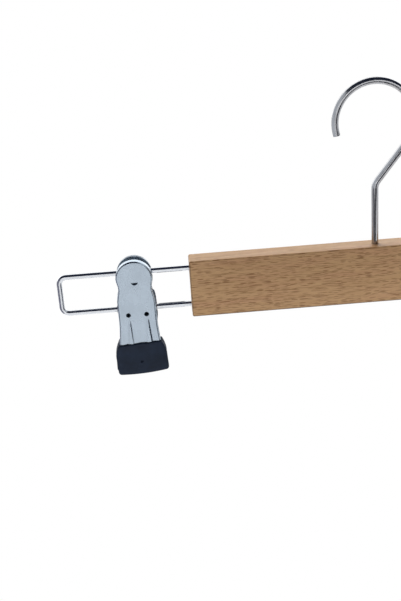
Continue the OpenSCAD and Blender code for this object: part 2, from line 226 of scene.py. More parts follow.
def surface(tree, inputs):
    shader = add_node(tree, "ShaderNodeBsdfPrincipled", inputs)
    add_node(tree, "ShaderNodeOutputMaterial", {"Surface": shader.outputs[0]})


def between(tree, value, low, high, out_low=0.0, out_high=1.0):
    """The value's share of the way from low to high, without going past either end."""
    inputs = {"Value": value, 1: low, 2: high, 3: out_low, 4: out_high}
    return add_node(tree, "ShaderNodeMapRange", inputs).outputs[0]


def combine(tree, how, first, second):
    return add_node(tree, "ShaderNodeMath", {0: first, 1: second}, operation=how).outputs[0]


def tint(tree, share, first, second):
    """Blends two colours, each an RGB value or a socket."""
    pair = [c if isinstance(c, bpy.types.NodeSocket) else opaque(c) for c in (first, second)]
    return add_node(tree, "ShaderNodeMix", {0: share, 6: pair[0], 7: pair[1]}, data_type="RGBA").outputs[2]


def noise(tree, cell, detail=2.0):
    """Noise whose cells have the size given in millimetres along X, Y and Z."""
    inputs = {"Vector": coordinates(tree, cell), "Scale": 1.0, "Detail": detail}
    return add_node(tree, "ShaderNodeTexNoise", inputs).outputs[0]


def stored(tree, name):
    """A number stored at each of the mesh's points."""
    return add_node(tree, "ShaderNodeAttribute", attribute_name=name).outputs["Fac"]


def bumped(tree, height, strength, depth):
    """The surface's normal, disturbed by a relief of the depth given in millimetres."""
    inputs = {"Height": height, "Strength": strength, "Distance": depth * MM}
    return add_node(tree, "ShaderNodeBump", inputs).outputs[0]


def oiled_beech(f):
    """Planed and oiled beech: dark ray flecks crowd the warm wood, and the eased edges are darkened with
    painted shade.
    """
    fleck_share, narrow_fleck_share, narrow_stain, edge_shade_share = 0.78, 0.25, 0.09, 0.95
    material, tree = blank_material("oiled_beech")
    grain = between(tree, noise(tree, (22, 3, 1.1), 4.0), 0.35, 0.7)
    wood = tint(tree, combine(tree, "MULTIPLY", grain, 0.5), f.beech_light, f.beech_dark)
    warm = between(tree, noise(tree, (50, 9, 6), 1.0), 0.5, 0.7, 0.0, 0.35)
    wood = tint(tree, warm, wood, f.beech_warm)
    streaks = between(tree, noise(tree, (6.0, 0.9, 0.36), 1.0), 0.56, 0.61, 0.0, 0.85)
    inputs = {"Vector": coordinates(tree, (4.6, 1.3, 0.62)), "Scale": 1.0}
    cells = add_node(tree, "ShaderNodeTexVoronoi", inputs).outputs
    chosen = add_node(tree, "ShaderNodeSeparateColor", {0: cells["Color"]}).outputs[0]
    lenses = between(tree, cells["Distance"], 0.5, 0.36)
    dashes = combine(tree, "MULTIPLY", lenses, between(tree, chosen, 0.7, 0.9))
    patches = between(tree, noise(tree, (7, 5, 3), 1.0), 0.35, 0.6, 0.7, 1.0)
    flecks = combine(tree, "MULTIPLY", combine(tree, "MAXIMUM", streaks, dashes), patches)
    narrow = stored(tree, "narrow")
    shown = between(tree, narrow, 0.0, 1.0, fleck_share, narrow_fleck_share)
    flecks = combine(tree, "MULTIPLY", flecks, shown)
    flecks = combine(tree, "ADD", flecks, combine(tree, "MULTIPLY", narrow, narrow_stain))
    flecked = tint(tree, flecks, wood, f.beech_fleck)
    # Painted shade: the stored edge weight blends the eased edges towards the dark edge colour.
    edge = combine(tree, "MULTIPLY", stored(tree, "edge_shade"), edge_shade_share)
    edge_shaded = tint(tree, edge, flecked, f.beech_edge_shade)
    pores = noise(tree, (5, 0.4, 0.25))
    relief = bumped(tree, combine(tree, "SUBTRACT", pores, flecks), 0.15, 0.05)
    rough = between(tree, grain, 0.0, 1.0, 0.38, 0.5)
    surface(tree, {"Base Color": edge_shaded, "Roughness": rough, "Normal": relief, "IOR": 1.48})
    return material


def plated(name, rgb, roughness, spread, cell, contrast=0.1, relief=0.0):
    """Plated steel: metal whose tone and gloss wander over cells of the size given, with a faint relief."""
    material, tree = blank_material(name)
    cloud = noise(tree, cell, 4.0)
    rough = between(tree, cloud, 0.3, 0.7, roughness - spread, roughness + spread)
    dim, bright = ([min(v * (1 + way * contrast), 1.0) for v in rgb] for way in (-1, 1))
    tone = tint(tree, between(tree, cloud, 0.3, 0.7), dim, bright)
    inputs = {"Base Color": tone, "Metallic": 1.0, "Roughness": rough}
    if relief:
        inputs["Normal"] = bumped(tree, cloud, 0.6, relief)
    surface(tree, inputs)
    return material


def zinc_wire(f):
    """Zinc-plated drawn wire: dull grey with soft streaks along the draw."""
    return plated("zinc_plated_wire", f.zinc, 0.2, 0.05, (3, 3, 12), 0.12, 0.01)


def nickel_wire(f):
    """Bright nickel over polished wire: near mirror, and faintly uneven."""
    return plated("bright_nickel_wire", f.nickel, 0.12, 0.03, (12, 3, 3), 0.05)


def nickel_sheet(f):
    """Satin nickel on pressed strip: soft cool reflections, with the strip's rolled grain up and down."""
    return plated("satin_nickel_sheet", f.satin_nickel, 0.26, 0.06, (5, 5, 9), 0.07, 0.03)


def spring_steel(f):
    """Oil-hardened spring wire: dark, smooth and slightly glossy."""
    return plated("spring_steel", f.steel, 0.3, 0.05, (3, 3, 3))


def moulded_rubber(f):
    """Black moulded rubber: matt and finely grained, so it returns little light, with a faint bloom."""
    material, tree = blank_material("moulded_rubber")
    bloom = noise(tree, (7, 7, 7), 5.0)
    dim, bright = ([v * share for v in f.rubber] for share in (0.8, 1.3))
    tone = tint(tree, between(tree, bloom, 0.3, 0.7), dim, bright)
    rough = between(tree, bloom, 0.3, 0.7, 0.5, 0.62)
    grain = bumped(tree, noise(tree, (0.3, 0.3, 0.3)), 0.4, 0.04)
    surface(tree, {"Base Color": tone, "Roughness": rough, "Normal": grain, "Specular IOR Level": 0.14})
    return material


def material_once(name, make):
    return bpy.data.materials.get(name) or make(bpy.context.scene.hanger_finishes)


def link(name, mesh, material):
    """Puts a finished mesh in the scene as a piece with one material."""
    piece = bpy.data.objects.new(name, mesh)
    bpy.context.scene.collection.objects.link(piece)
    mesh.materials.clear()
    mesh.materials.append(material)
    return piece


def place(piece, body, slot, *nodes):
    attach(piece, body)
    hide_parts(*nodes)


def mesh_from(name, points, faces):
    """A mesh in metres from points in millimetres."""
    mesh = bpy.data.meshes.new(name)
    mesh.from_pydata([Vector(p) * MM for p in points], [], faces)
    return mesh


def finish_mesh(mesh, sharp=math.radians(32)):
    """Turns faces outwards and shades them smooth, but for edges sharper than the angle."""
    shape = bmesh.new()
    shape.from_mesh(mesh)
    bmesh.ops.remove_doubles(shape, verts=shape.verts, dist=1e-7)
    bmesh.ops.recalc_face_normals(shape, faces=shape.faces)
    for face in shape.faces:
        face.smooth = True
    for edge in shape.edges:
        edge.smooth = len(edge.link_faces) == 2 and edge.calc_face_angle(0.0) < sharp
    shape.to_mesh(mesh)
    shape.free()
    mesh.update()
    return mesh


def evaluated(carrier, name):
    """The carrier's mesh with its modifiers applied. The carrier is removed."""
    bpy.context.view_layer.update()
    graph = bpy.context.evaluated_depsgraph_get()
    mesh = bpy.data.meshes.new_from_object(carrier.evaluated_get(graph))
    mesh.name = name
    bpy.data.objects.remove(carrier)
    return mesh


def carrier_for(mesh):
    carrier = bpy.data.objects.new("carrier", mesh)
    bpy.context.scene.collection.objects.link(carrier)
    return carrier


def carve(mesh, cutters, name):
    """The mesh with closed cutting meshes taken out of it, one after another."""
    carrier = carrier_for(mesh)
    tools = []
    for cutter in cutters:
        tool = carrier_for(finish_mesh(cutter))
        tool.hide_render = True
        step = carrier.modifiers.new("cut", "BOOLEAN")
        step.operation = "DIFFERENCE"
        step.solver = "EXACT"
        step.object = tool
        tools.append(tool)
    result = evaluated(carrier, name)
    for tool in tools:
        bpy.data.objects.remove(tool)
    return result


def quarter(steps):
    """The angles of a quarter turn in equal steps, both ends included."""
    return [math.pi / 2 * i / steps for i in range(steps + 1)]


def ring(centre, radius, across, up, count):
    """Points round a circle, in the plane of two unit directions."""
    turns = [math.tau * i / count for i in range(count)]
    return [centre + radius * (math.cos(t) * across + math.sin(t) * up) for t in turns]


def tube_faces(rings, count):
    """Quads between equal rings of points, then a cap at each end."""
    starts = [k * count for k in range(rings)]
    faces = [
        (a + i, a + (i + 1) % count, b + (i + 1) % count, b + i)
        for a, b in zip(starts, starts[1:])
        for i in range(count)
    ]
    faces += [tuple(start + i for i in range(count)) for start in (starts[0], starts[-1])]
    return faces


def rod(start, end, radius, count=48):
    """A closed cylinder between two points."""
    way = (end - start).normalized()
    across = way.orthogonal().normalized()
    up = way.cross(across)
    points = ring(start, radius, across, up, count) + ring(end, radius, across, up, count)
    return mesh_from("rod", points, tube_faces(2, count))


def block(low, high):
    corners = [(x, y, z) for x in (low[0], high[0]) for y in (low[1], high[1]) for z in (low[2], high[2])]
    faces = [(0, 1, 3, 2), (4, 6, 7, 5), (0, 4, 5, 1), (2, 3, 7, 6), (0, 2, 6, 4), (1, 5, 7, 3)]
    return mesh_from("block", corners, faces)


def turned(profile, start, axis):
    """A closed solid of revolution. The profile is a loop of (distance along the axis, radius)."""
    count = 64
    across = axis.orthogonal().normalized()
    outs = ring(Vector((0, 0, 0)), 1.0, across, axis.cross(across), count)
    points = [start + along * axis + radius * out for out in outs for along, radius in profile]
    n = len(profile)
    faces = [
        (i * n + k, (i + 1) % count * n + k, (i + 1) % count * n + (k + 1) % n, i * n + (k + 1) % n)
        for i in range(count)
        for k in range(n)
    ]
    return mesh_from("turned", points, faces)


def arc(centre, radius, start, end):
    """Points [x, z] about every 5 degrees along an arc, both ends included."""
    count = max(2, round(abs(end - start) / math.radians(5)))
    angles = [start + (end - start) * i / count for i in range(count + 1)]
    return [(centre[0] + radius * math.cos(a), centre[1] + radius * math.sin(a)) for a in angles]


def wire_tree():
    """Geometry Nodes that sweep a round wire along a path of edges, with its girth read at each point."""
    tree = bpy.data.node_groups.get("Wire Along Path")
    if tree:
        return tree
    tree = bpy.data.node_groups.new("Wire Along Path", "GeometryNodeTree")
    sockets = tree.interface
    sockets.new_socket("Path", in_out="INPUT", socket_type="NodeSocketGeometry")
    sockets.new_socket("Wire Radius", in_out="INPUT", socket_type="NodeSocketFloat").default_value = 1.5 * MM
    sockets.new_socket("Sides", in_out="INPUT", socket_type="NodeSocketInt").default_value = 32
    sockets.new_socket("Finish", in_out="INPUT", socket_type="NodeSocketMaterial")
    sockets.new_socket("Wire", in_out="OUTPUT", socket_type="NodeSocketGeometry")
    given = add_node(tree, "NodeGroupInput").outputs
    girth = add_node(tree, "GeometryNodeInputNamedAttribute", {"Name": "girth"}, data_type="FLOAT")
    path = add_node(tree, "GeometryNodeMeshToCurve", {"Mesh": given["Path"]})
    inputs = {"Curve": path.outputs[0], "Radius": girth.outputs[0]}
    sized = add_node(tree, "GeometryNodeSetCurveRadius", inputs)
    inputs = {"Resolution": given["Sides"], "Radius": given["Wire Radius"]}
    section = add_node(tree, "GeometryNodeCurvePrimitiveCircle", inputs)
    inputs = {"Curve": sized.outputs[0], "Profile Curve": section.outputs[0], "Fill Caps": True}
    swept = add_node(tree, "GeometryNodeCurveToMesh", inputs)
    shaded = add_node(tree, "GeometryNodeSetShadeSmooth", {"Geometry": swept.outputs[0]})
    real = add_node(tree, "GeometryNodeRealizeInstances", {"Geometry": shaded.outputs[0]})
    inputs = {"Geometry": real.outputs[0], "Material": given["Finish"]}
    dressed = add_node(tree, "GeometryNodeSetMaterial", inputs)
    add_node(tree, "NodeGroupOutput", {"Wire": dressed.outputs[0]})
    return tree


def wire(name, path, diameter, material, girth=None, sides=32):
    """A mesh of round wire along points in millimetres. girth scales it at each point."""
    mesh = bpy.data.meshes.new(name + "_path")
    mesh.from_pydata([Vector(p) * MM for p in path], [(i, i + 1) for i in range(len(path) - 1)], [])
    store = mesh.attributes.new("girth", "FLOAT", "POINT")
    store.data.foreach_set("value", girth or [1.0] * len(path))
    carrier = carrier_for(mesh)
    sweep = carrier.modifiers.new("sweep", "NODES")
    sweep.node_group = wire_tree()
    values = {"Wire Radius": diameter / 2 * MM, "Sides": sides, "Finish": material}
    for socket in sweep.node_group.interface.items_tree:
        if socket.name in values:
            sweep[socket.identifier] = values[socket.name]
    return finish_mesh(evaluated(carrier, name), math.radians(40))


class HANGER_OT_bar(bpy.types.Operator):
    """Makes the beech bar with its eased edges, stem hole, counterbore and wire holes"""

    bl_idname = "hanger.bar"
    bl_label = "Bar"

    def execute(self, context):
        b = context.scene.hanger_bar
        low, high = box_mm("bar")
        carrier = carrier_for(finish_mesh(block(low, high)))
        eased = carrier.modifiers.new("eased", "BEVEL")
        eased.width = b.edge * MM
        eased.segments = 4
        past = 1.0
        cutters = [
            rod(Vector((0, 0, low.z - past)), Vector((0, 0, top)), bore / 2)
            for top, bore in ((high.z + past, b.stem_hole), (low.z + b.counterbore_depth, b.counterbore))
        ]
        half = context.scene.hanger_wires.loop_wire / 2
        loop_low, loop_high = box_mm("left_loop")
        for end, way in ((low.x, -1), (high.x, 1)):
            for z in (loop_low.z + half, loop_high.z - half):
                mouth = Vector((end + way * past, 0, z))
                cutters.append(rod(Vector((end - way * b.wire_hole_depth, 0, z)), mouth, b.wire_hole / 2))
        mesh = finish_mesh(carve(evaluated(carrier, "bar_blank"), cutters, "beech_bar"))
        self.store_edge_shade_and_narrow_faces(mesh, low, high, b.edge)
        piece = link("beech_bar", mesh, material_once("oiled_beech", oiled_beech))
        place(piece, "frame", "beech", "bar")
        return {"FINISHED"}

    def store_edge_shade_and_narrow_faces(self, mesh, low, high, edge):
        """Stores where painted shade darkens the eased edges, strongest along the bottom edges and weaker on
        the upright edges at the ends, and which faces are its narrow ones.
        """
        for name in ("edge_shade", "narrow"):
            mesh.attributes.new(name, "FLOAT", "POINT")
        edge_shade, narrow = mesh.attributes["edge_shade"].data, mesh.attributes["narrow"].data
        touching = 0.01
        for vertex, share, flat in zip(mesh.vertices, edge_shade, narrow):
            x, y, z = (v / MM for v in vertex.co)
            gaps = (high.x - abs(x), high.y - abs(y), z - low.z)
            end, side, under = (1 - min(gap / edge, 1.0) for gap in gaps)
            # Painted shade weight: bottom edges and end edges, none along the top.
            share.value = min(2 * max(end * side / 3, side * under, end * under), 1.0)
            flat.value = float(min(high.z - z, z - low.z) < touching)


def hook_path(w):
    """The hook's centre line from its peened head to its tip, and its girth, which rounds off the tip."""
    foot, stem_top = box_mm("hook")[0].z, box_mm("bar")[1].z + w.stem
    lean, bend, crook, tip = w.hook_lean, w.hook_bend, w.hook_radius, w.hook_wire / 2
    steps, gap, blunt = 50, 0.5, 0.02
    stem = [foot + w.head_height / 2 + (stem_top - foot) * i / steps for i in range(steps)]
    flat = [(0, z) for z in stem if z < stem_top - gap]
    flat += arc((bend, stem_top), bend, math.pi, math.pi - lean)
    flat += arc((0, tip - crook), crook, -lean, w.hook_end)
    girth = [1.0] * len(flat)
    along = Vector((-math.sin(w.hook_end), math.cos(w.hook_end)))
    last = Vector(flat[-1])
    for turn in quarter(8)[1:]:
        flat.append(last + along * tip * math.sin(turn))
        girth.append(max(math.cos(turn), blunt))
    return [(x, 0, z) for x, z in flat], girth


class HANGER_OT_hook(bpy.types.Operator):
    """Makes the wire hook, its peened head and the washer above it"""

    bl_idname = "hanger.hook"
    bl_label = "Hook"

    def execute(self, context):
        w = context.scene.hanger_wires
        zinc = material_once("zinc_plated_wire", zinc_wire)
        path, girth = hook_path(w)
        piece = link("hook_wire", wire("hook_wire", path, w.hook_wire, zinc, girth, 40), zinc)
        dome, play, edge = 0.35 * w.head_height, 0.08, 0.12
        profile = [(dome * (1 - math.cos(a)), w.head / 2 * math.sin(a)) for a in quarter(8)]
        profile += [(w.head_height, w.head / 2), (w.head_height, 0.0)]
        upwards = Vector((0, 0, 1))
        head = turned(profile, Vector((0, 0, box_mm("hook")[0].z)), upwards)
        join_into(piece, finish_mesh(head))
        place(piece, "hook", "hook_wire", "hook")
        low, high = box_mm("hook_washer")
        bore, out, thick = w.hook_wire / 2 + play, high.x, high.z - low.z
        profile = [(0, bore), (0, out - edge), (edge, out)]
        profile += [(thick - edge, out), (thick, out - edge), (thick, bore)]
        washer = finish_mesh(turned(profile, Vector((0, 0, low.z)), upwards))
        washer_piece = link("hook_washer_ring", washer, zinc)
        place(washer_piece, "frame", "zinc_washer", "hook_washer")
        return {"FINISHED"}


def join_into(piece, mesh):
    """Adds a mesh to a piece's own."""
    shape = bmesh.new()
    shape.from_mesh(piece.data)
    shape.from_mesh(mesh)
    shape.to_mesh(piece.data)
    shape.free()
    piece.data.update()


class HANGER_OT_loops(bpy.types.Operator):
    """Makes the two wire loops that the clips slide on"""

    bl_idname = "hanger.loops"
    bl_label = "Wire loops"

    def execute(self, context):
        w = context.scene.hanger_wires
        nickel = material_once("bright_nickel_wire", nickel_wire)
        half = w.loop_wire / 2
        for side in SIDES:
            way = -1 if side == "left" else 1
            low, high = box_mm(side + "_loop")
            start, reach = sorted((abs(low.x), abs(high.x)))
            top, bottom, bend = high.z - half, low.z + half, w.loop_bend
            corner = reach - half - bend
            run = [start + (corner - start) * i / 12 for i in range(12)]
            flat = [(x, top) for x in run]
            flat += arc((corner, top - bend), bend, math.pi / 2, 0)
            flat += arc((corner, bottom + bend), bend, 0, -math.pi / 2)
            flat += [(x, bottom) for x in reversed(run)]
            path = [(way * x, 0, z) for x, z in flat]
            piece = link(side + "_wire_loop", wire(side + "_wire_loop", path, w.loop_wire, nickel), nickel)
            place(piece, "frame", "nickel_wire", side + "_loop")
        return {"FINISHED"}


def mix(a, b, t):
    return a + (b - a) * t


def smooth(t):
    t = min(max(t, 0.0), 1.0)
    return t * t * (3 - 2 * t)


class LeafForm:
    """The pressed leaf's rules before its tilt, in millimetres from its hinge axis. Its face looks to -Y."""

    ear_low, ear_top, ear_slope = -8.5, 11.5, 3.0
    belly_low, belly_top = -5.0, 5.0
    rib_gap, rib_foot_gap, rib_run_in, flank_run = 0.7, 14.0, 2.5, 16.0
    flank_growth, flank_lopside = 0.5, 0.35
    dimple, dimple_radius, dimple_drop, dimple_stretch = 0.28, 3.2, 1.0, 1.1

    def __init__(self, sizes, front):
        self.s = sizes
        self.head = sizes.front_head if front else sizes.back_head
        self.inset = 0.0 if front else sizes.inset
        self.flare = sizes.flare if front else 0.0

    def half_width(self, z):
        """Half the leaf's width at a height, eased from each of its stations to the next."""
        s = self.s
        jaw, belly, waist = (wide / 2 - self.inset for wide in (s.jaw, s.belly, s.waist))
        heights = (-s.jaw_depth, self.belly_low, self.belly_top, s.waist_height, s.head_height)
        halves = (jaw, belly, belly, waist, self.head)
        k = sum(z >= height for height in heights[1:-1])
        return mix(halves[k], halves[k + 1], smooth((z - heights[k]) / (heights[k + 1] - heights[k])))

    def wall(self, z):
        s = self.s
        base = mix(s.jaw_wall, s.head_wall, smooth((z + s.jaw_depth) / (self.ear_low + s.jaw_depth)))
        rise = smooth((z - self.ear_low) / self.ear_slope) * smooth((self.ear_top - z) / self.ear_slope)
        return mix(base, s.face + s.ear_reach, rise)

    def spot(self, u, v, shrink):
        """[x, z] on the face. u runs from -1 to 1 across, and v from 0 at the jaw to 2 at the head's top."""
        s = self.s
        if v <= 1:
            plain = mix(-s.jaw_depth, s.head_height, v)
            return u * (self.half_width(plain) - shrink), mix(-s.jaw_depth + shrink, s.head_height, v)
        w = v - 1
        r = self.head - shrink
        return u * r * math.sqrt(1 - w * w / 2), s.head_height + w * r * math.sqrt(1 - u * u / 2)

    def relief(self, x, z):
        """How far the face is pressed out: two ribs that widen downwards, and a dimple round the lance."""
        s = self.s
        top = -s.hole_drop - s.hole / 2 - self.rib_gap
        foot = -s.jaw_depth + self.rib_foot_gap
        rib = 0.0
        if z < top:
            half = mix(s.rib_top, s.rib_foot, min((top - z) / (top - foot), 1.0))
            for way in (-1, 1):
                off = x - way * s.hole_gap / 2
                growth = self.flank_growth - self.flank_lopside * way
                flank = s.rib_flank * (1 + growth * smooth((top - z) / self.flank_run))
                share = min((half + off) / s.rib_lee, (half - off) / flank)
                rib += s.rib_rise * smooth(share) * smooth((top - z) / self.rib_run_in)
        below = (z - s.moon_height + self.dimple_drop) / self.dimple_stretch
        near = math.hypot(x, below) / self.dimple_radius
        return rib - self.dimple * math.exp(-near * near * 2)


def leaf_shell(form):
    """The leaf's outer skin as one sheet of quads: its face, its folded rim, and its wall with the ears."""
    s = form.s
    columns, rows, head_rows, fold_steps, wall_steps = 72, 62, 16, 4, 8
    us = [2 * i / columns - 1 for i in range(columns + 1)]
    vs = [i / rows for i in range(rows + 1)] + [1 + i / head_rows for i in range(1, head_rows + 1)]
    points = []
    for v in vs:
        for u in us:
            x, z = form.spot(u, v, s.fold)
            points.append((x, -s.face - form.relief(x, z), z))
    wide, high = len(us), len(vs)
    faces = [
        (j * wide + i, j * wide + i + 1, (j + 1) * wide + i + 1, (j + 1) * wide + i)
        for j in range(high - 1)
        for i in range(wide - 1)
    ]
    border = [(wide - 1, j) for j in range(high)] + [(i, high - 1) for i in range(wide - 2, -1, -1)]
    border += [(0, j) for j in range(high - 2, -1, -1)] + [(i, 0) for i in range(1, wide - 1)]
    previous = [j * wide + i for i, j in border]
    count = len(border)
    ear_long = s.face + s.ear_reach - s.head_wall
    turns = quarter(fold_steps)[1:]
    steps = [(s.fold * (1 - math.sin(a)), s.fold * (1 - math.cos(a)), 0.0) for a in turns]
    steps += [(0.0, s.fold, k / wall_steps) for k in range(1, wall_steps + 1)]
    for shrink, depth, share in steps:
        current = []
        for i, j in border:
            x, z = form.spot(us[i], vs[j], shrink)
            _, rim = form.spot(us[i], vs[j], 0.0)
            deep = mix(depth, form.wall(rim), share)
            low_ear = min(max((form.ear_top - rim) / form.ear_top, 0.0), 1.0)
            spread = form.flare * low_ear * max(deep - s.head_wall, 0.0) / ear_long
            current.append(len(points))
            points.append((x + math.copysign(spread, x), deep - s.face, z))
        pairs = [(k, (k + 1) % count) for k in range(count)]
        faces += [(previous[k], previous[after], current[after], current[k]) for k, after in pairs]
        previous = current
    return mesh_from("leaf_skin", points, faces)


def leaf_cutters(form, rail_gap):
    """What is taken out of a leaf: its hinge's holes, the upper wire's notch, two holes and the lance."""
    s = form.s
    past, notch_radius = 2.0, 1.85
    wide = Vector((s.jaw, 0, 0))
    cutters = [rod(-wide, wide, s.ear_hole / 2)]
    for way in (-1, 1):
        mouth = Vector((way * s.hole_gap / 2, -s.face - past, -s.hole_drop))
        cutters.append(rod(mouth, mouth + Vector((0, 2 * past, 0)), s.hole / 2))
    forwards = math.asin((s.face - s.head_wall) / (s.head_height + s.front_head))
    y, z = -rail_gap * math.sin(forwards), rail_gap * math.cos(s.tilt)
    bottom = [math.pi + 2 * a for a in quarter(12)]
    notch = [(y + notch_radius * math.sin(a), z + notch_radius * math.cos(a)) for a in bottom]
    notch += [(s.face, z + notch_radius), (s.face, z - notch_radius)]
    points = [(x, y, z) for x in (-s.jaw, s.jaw) for y, z in notch]
    cutters.append(mesh_from("notch", points, tube_faces(2, len(notch))))
    moon = [math.pi + 2 * a for a in quarter(16)]
    half = [(s.moon / 2 * math.cos(a), s.moon_height + s.moon / 2 * math.sin(a)) for a in moon]
    points = [(x, y, z) for y in (-s.face - past, -s.face + past) for x, z in half]
    cutters.append(mesh_from("lance", points, tube_faces(2, len(half))))
    return cutters


def lance_tongue(form):
    """The half-round tongue of the lance, turned inwards under its flat edge."""
    s = form.s
    inwards, thick, clear = 0.6, 0.48, 0.02
    rim = [(s.moon / 2 * math.cos(2 * a), s.moon / 2 * math.sin(2 * a)) for a in quarter(12)]
    top = s.moon_height - clear
    points = [(x, y - s.face + inwards, z) for z in (top - thick, top) for x, y in rim]
    return finish_mesh(mesh_from("tongue", points, tube_faces(2, len(rim))))


def settle(mesh, front, tilt, hinge):
    """Tilts a piece made as a front one, mirrors it where it is a back one, and puts it on its hinge."""
    mesh.transform(Matrix.Rotation(tilt, 4, "X"))
    if not front:
        mesh.transform(Matrix.Scale(-1, 4, Vector((0, 1, 0))))
        mesh.flip_normals()
    mesh.transform(Matrix.Translation(hinge))
    mesh.update()


class HANGER_OT_leaves(bpy.types.Operator):
    """Makes the four pressed leaves of the clips"""

    bl_idname = "hanger.leaves"
    bl_label = "Clip leaves"

    def execute(self, context):
        s = context.scene.hanger_leaves
        loop_low, loop_high = box_mm("left_loop")
        rail_gap = loop_high.z - loop_low.z - context.scene.hanger_wires.loop_wire
        nickel = material_once("satin_nickel_sheet", nickel_sheet)
        for front in (True, False):
            form = LeafForm(s, front)
            carrier = carrier_for(finish_mesh(leaf_shell(form)))
            wall = carrier.modifiers.new("wall", "SOLIDIFY")
            wall.thickness = s.sheet * MM
            wall.offset = -1.0
            solid = finish_mesh(evaluated(carrier, "leaf_solid"))
            mesh = finish_mesh(carve(solid, leaf_cutters(form, rail_gap), "leaf"))
            for side in SIDES:
                label = f"{side}_{'front' if front else 'back'}"
                piece = link(label + "_pressed_leaf", mesh.copy(), nickel)
                join_into(piece, lance_tongue(form))
                settle(piece.data, front, s.tilt, JOINT_PLACE[side + "_front_hinge"])
                place(piece, label, "nickel_sheet", label + "_leaf")
        return {"FINISHED"}


def boot_outline(b, inward):
    """Points [x, z] round a boot below its hinge axis, from its upper right corner downwards and back."""
    top = -b.drop - inward
    low = -b.drop - b.height + b.crown + inward
    widest_share = 0.42
    full = mix(top, low, widest_share)
    half_top = b.top_width / 2 - inward
    half = b.width / 2 - inward
    foot = half - b.corner
    shares = [i / 12 for i in range(13)]
    right = [(mix(half_top, half, math.sin(math.pi / 2 * t)), mix(top, full, t)) for t in shares]
    right += [(half, mix(full, low + b.corner, i / 5)) for i in range(1, 5)]
    right += [(foot + b.corner * math.cos(a), low + b.corner * (1 - math.sin(a))) for a in quarter(8)]
    right += [(foot * (1 - t), low - b.crown * t * (2 - t)) for t in shares[1:-1]]
    loop = right + [(0.0, low - b.crown)] + [(-x, z) for x, z in reversed(right)]
    return loop + [(mix(-half_top, half_top, i / 24), top) for i in range(1, 24)]


def boot_mesh(b, s, front, skew):
    """A boot in its shut place: flat where it grips, round at its edges, and bulging over the ribs' tops."""
    bulge, bulge_half, bulge_run = 0.28, 2.4, 5.0
    bow, sink, grip_round = 0.25, 0.3, 0.45
    wave, wave_run, wave_turn, wave_start = 0.12, 2.0, 0.9, 0.6
    slope = math.tan(s.tilt)
    reach = (s.face + b.skin) / math.cos(s.tilt)

    def outer(x, z):
        near_top = smooth((z + b.drop + bulge_run) / bulge_run)
        over_ribs = sum(math.exp(-(((x - way * s.hole_gap / 2) / bulge_half) ** 2)) for way in (-1, 1))
        bowed = bow * (1 - (2 * x / b.width) ** 2)
        return -reach - z * slope - (bulge * near_top * over_ribs + bowed - sink)

    def grip_edge(a):
        return grip_round * (1 - math.sin(a)), lambda x, z: -b.grip - grip_round * (1 - math.cos(a))

    def outer_edge(a):
        return b.edge * (1 - math.cos(a)), lambda x, z: outer(x, z) + b.edge * (1 - math.sin(a))

    rings = [grip_edge(a) for a in quarter(3)] + [outer_edge(a) for a in quarter(6)]
    points = []
    for inward, depth in rings:
        for x, z in boot_outline(b, inward):
            rise = wave * math.sin(x * wave_turn + wave_start) * smooth((z + b.drop + wave_run) / wave_run)
            points.append((x, depth(x, z), min(z + rise, -b.drop)))
    middle = -b.drop - b.height / 2
    last = boot_outline(b, b.edge)
    steps = 8
    for k in range(1, steps + 1):
        share = 1 - k / (steps + 1)
        inner = [(x * share, mix(middle, z, share)) for x, z in last]
        points += [(x, outer(x, z), z) for x, z in inner]
    mesh = finish_mesh(mesh_from("boot", points, tube_faces(len(rings) + steps, len(last))))
    pivot_share = 0.33
    pivot = Vector((0, 0, -b.drop - pivot_share * b.height)) * MM
    askew = Matrix.Translation(pivot) @ Matrix.Rotation(-skew, 4, "Y") @ Matrix.Translation(-pivot)
    mesh.transform(askew)
    cutters = boot_cutters(b, s, LeafForm(s, front))
    return finish_mesh(carve(mesh, cutters, "boot"), math.radians(40))


def boot_cutters(b, s, form):
    """What is taken out of a boot: the pocket that its leaf's jaw fills, and the moulding's gate mark."""
    past, clear, wall_least = 2.0, 0.02, 1.2
    mark_share, mark_deep, above_mark = 0.56, 1.8, 1.0

    def tilted(x, y, z):
        cos, sin = math.cos(s.tilt), math.sin(s.tilt)
        return x, y * cos - z * sin, y * sin + z * cos

    top, narrow = -b.drop, form.half_width(-b.drop)
    rim = [(s.jaw / 2 - form.inset, -s.jaw_depth), (narrow, top), (narrow, top + past)]
    rim += [(-x, z) for x, z in reversed(rim)]
    pocket = [tilted(x, -s.face + clear, z) for x, z in rim]
    pocket += [tilted(x, min(form.wall(z) - s.face, -wall_least), z) for x, z in rim]
    mark = Vector(tilted(0, -s.face - b.skin - above_mark, -b.drop - mark_share * b.height))
    return [
        mesh_from("pocket", pocket, tube_faces(2, len(rim))),
        rod(mark, mark + Vector((0, mark_deep, 0)), b.mark / 2, 24),
    ]


class HANGER_OT_boots(bpy.types.Operator):
    """Makes the four rubber boots on the jaws"""

    bl_idname = "hanger.boots"
    bl_label = "Rubber boots"

    def execute(self, context):
        b, s = context.scene.hanger_boots, context.scene.hanger_leaves
        rubber = material_once("moulded_rubber", moulded_rubber)
        for side, front, skew in zip(("left", "left", "right", "right"), (True, False) * 2, b.skews):
            label = f"{side}_{'front' if front else 'back'}"
            piece = link(label + "_rubber_boot", boot_mesh(b, s, front, skew), rubber)
            settle(piece.data, front, 0.0, JOINT_PLACE[side + "_front_hinge"])
            place(piece, label, "black_rubber", label + "_boot")
        return {"FINISHED"}


